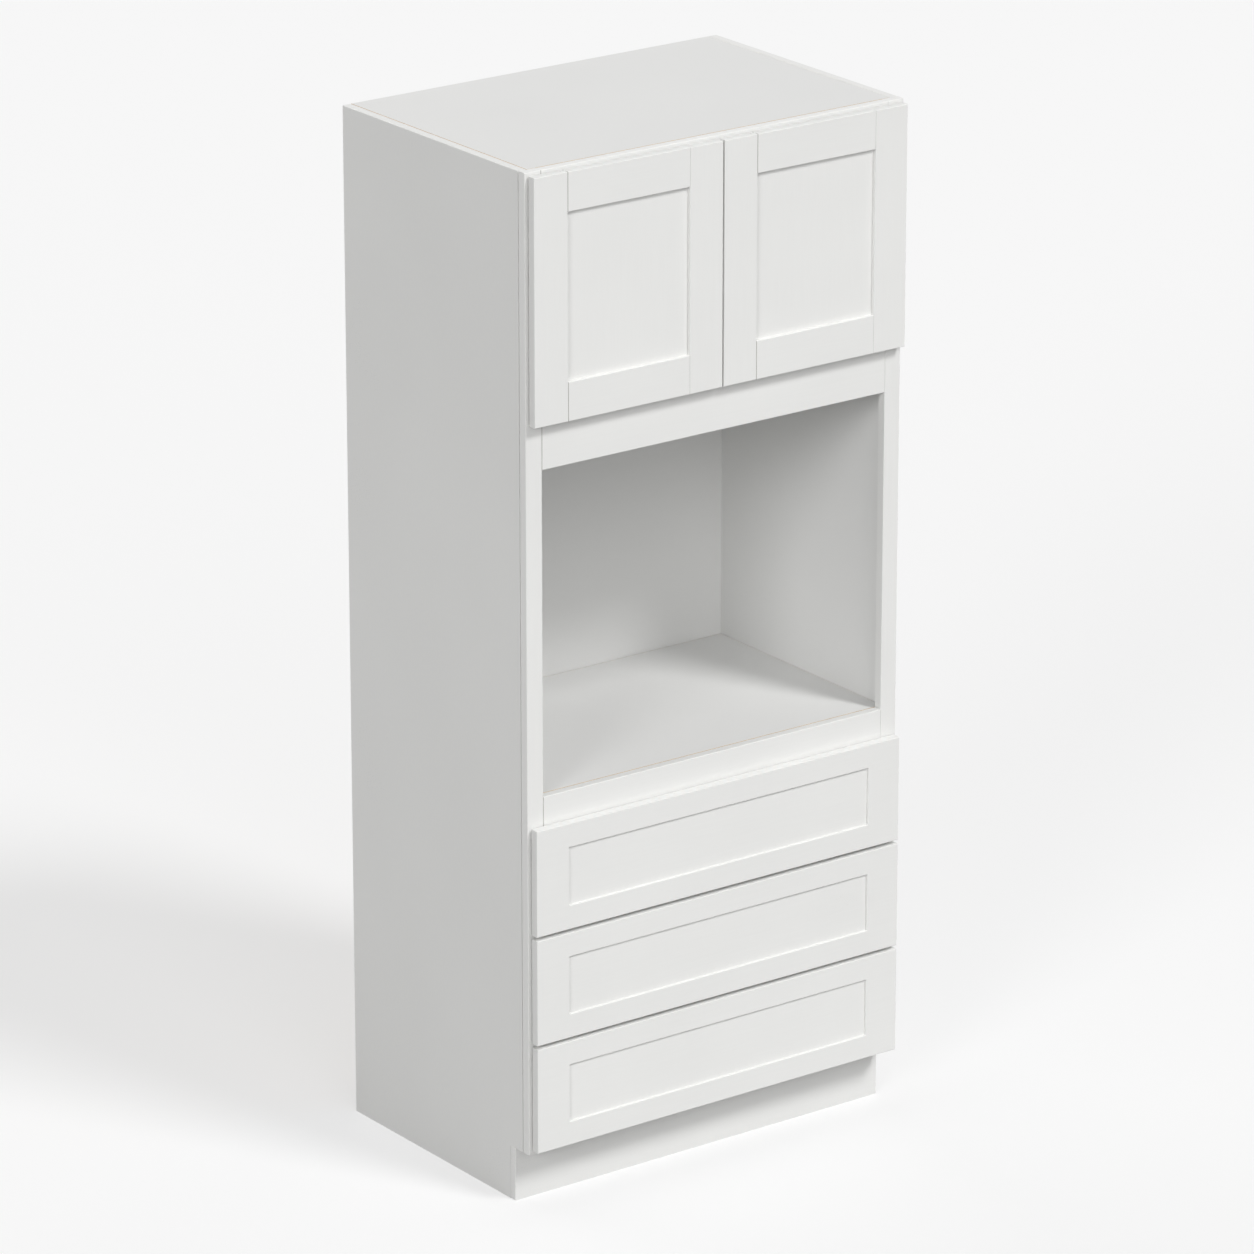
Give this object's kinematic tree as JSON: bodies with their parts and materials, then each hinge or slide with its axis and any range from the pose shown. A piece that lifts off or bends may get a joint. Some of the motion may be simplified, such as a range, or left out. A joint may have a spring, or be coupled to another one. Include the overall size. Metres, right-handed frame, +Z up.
{
  "type": "oven cabinet",
  "caption": "Tall framed kitchen cabinet with flat-panel doors at the top, an open oven bay, drawers below it and a recessed toe kick.",
  "frame": {"origin": "on the floor, at the middle of the whole footprint with the doors shut", "axes": "+X to the right as seen from the front, +Y to the wall, +Z up"},
  "size_m": [0.9144, 0.6316, 2.1336],
  "materials": {
    "white_paint": "satin white lacquer on maple",
    "white_board": "white melamine-faced plywood",
    "bare_wood": "bare softwood and plywood",
    "drawer_birch": "clear lacquer on birch",
    "plated_steel": "zinc-plated steel",
    "bumper": "clear soft polyurethane"
  },
  "bodies": {
    "cabinet": {"left_side_panel": "white_board", "right_side_panel": "white_board", "top_panel": "white_board", "upper_deck": "white_board", "oven_deck": "white_board", "bottom_panel": "white_board", "back_panel": "white_board", "toe_board": "white_board", "rear_nailers": "bare_wood", "oven_deck_cleats": "bare_wood", "frame_left_stile": "white_paint", "frame_right_stile": "white_paint", "frame_bottom_rail": "white_paint", "frame_lower_drawer_rail": "white_paint", "frame_upper_drawer_rail": "white_paint", "frame_sill_rail": "white_paint", "frame_head_rail": "white_paint", "frame_top_rail": "white_paint", "hinge_arms": "plated_steel", "slide_spacers": "bare_wood", "cabinet_runners": "plated_steel", "bumpers": "bumper"},
    "left_door": {"left_door_hinge_stile": "white_paint", "left_door_meeting_stile": "white_paint", "left_door_top_rail": "white_paint", "left_door_bottom_rail": "white_paint", "left_door_panel": "white_paint", "left_door_hinge_cups": "plated_steel", "left_door_hinge_pins": "plated_steel"},
    "right_door": {"right_door_hinge_stile": "white_paint", "right_door_meeting_stile": "white_paint", "right_door_top_rail": "white_paint", "right_door_bottom_rail": "white_paint", "right_door_panel": "white_paint", "right_door_hinge_cups": "plated_steel", "right_door_hinge_pins": "plated_steel"},
    "bottom_drawer": {"bottom_drawer_front": "white_paint", "bottom_drawer_left_side": "drawer_birch", "bottom_drawer_right_side": "drawer_birch", "bottom_drawer_box_front": "drawer_birch", "bottom_drawer_box_back": "drawer_birch", "bottom_drawer_box_bottom": "drawer_birch", "bottom_drawer_runners": "plated_steel"},
    "bottom_runners": {"bottom_intermediate_runners": "plated_steel"},
    "middle_drawer": {"middle_drawer_front": "white_paint", "middle_drawer_left_side": "drawer_birch", "middle_drawer_right_side": "drawer_birch", "middle_drawer_box_front": "drawer_birch", "middle_drawer_box_back": "drawer_birch", "middle_drawer_box_bottom": "drawer_birch", "middle_drawer_runners": "plated_steel"},
    "middle_runners": {"middle_intermediate_runners": "plated_steel"},
    "top_drawer": {"top_drawer_front": "white_paint", "top_drawer_left_side": "drawer_birch", "top_drawer_right_side": "drawer_birch", "top_drawer_box_front": "drawer_birch", "top_drawer_box_back": "drawer_birch", "top_drawer_box_bottom": "drawer_birch", "top_drawer_runners": "plated_steel"},
    "top_runners": {"top_intermediate_runners": "plated_steel"}
  },
  "joints": [
    {"name": "left_door_swing", "type": "hinge", "parent": "cabinet", "child": "left_door", "pos_m": [-0.44455, -0.3033, 1.87915], "axis": [0, 0, -1], "range_deg": [0, 100]},
    {"name": "right_door_swing", "type": "hinge", "parent": "cabinet", "child": "right_door", "pos_m": [0.44455, -0.3033, 1.87915], "axis": [0, 0, 1], "range_deg": [0, 100]},
    {"name": "bottom_drawer_slide", "type": "slide", "parent": "cabinet", "child": "bottom_drawer", "axis": [0, -1, 0], "range_m": [0, 0.48]},
    {"name": "bottom_runner_slide", "type": "slide", "parent": "cabinet", "child": "bottom_runners", "axis": [0, -1, 0], "range_m": [0, 0.24]},
    {"name": "middle_drawer_slide", "type": "slide", "parent": "cabinet", "child": "middle_drawer", "axis": [0, -1, 0], "range_m": [0, 0.48]},
    {"name": "middle_runner_slide", "type": "slide", "parent": "cabinet", "child": "middle_runners", "axis": [0, -1, 0], "range_m": [0, 0.24]},
    {"name": "top_drawer_slide", "type": "slide", "parent": "cabinet", "child": "top_drawer", "axis": [0, -1, 0], "range_m": [0, 0.48]},
    {"name": "top_runner_slide", "type": "slide", "parent": "cabinet", "child": "top_runners", "axis": [0, -1, 0], "range_m": [0, 0.24]}
  ],
  "couplings": [
    {"joint": "bottom_runner_slide", "follows": "bottom_drawer_slide", "ratio": 0.5},
    {"joint": "middle_runner_slide", "follows": "middle_drawer_slide", "ratio": 0.5},
    {"joint": "top_runner_slide", "follows": "top_drawer_slide", "ratio": 0.5}
  ]
}
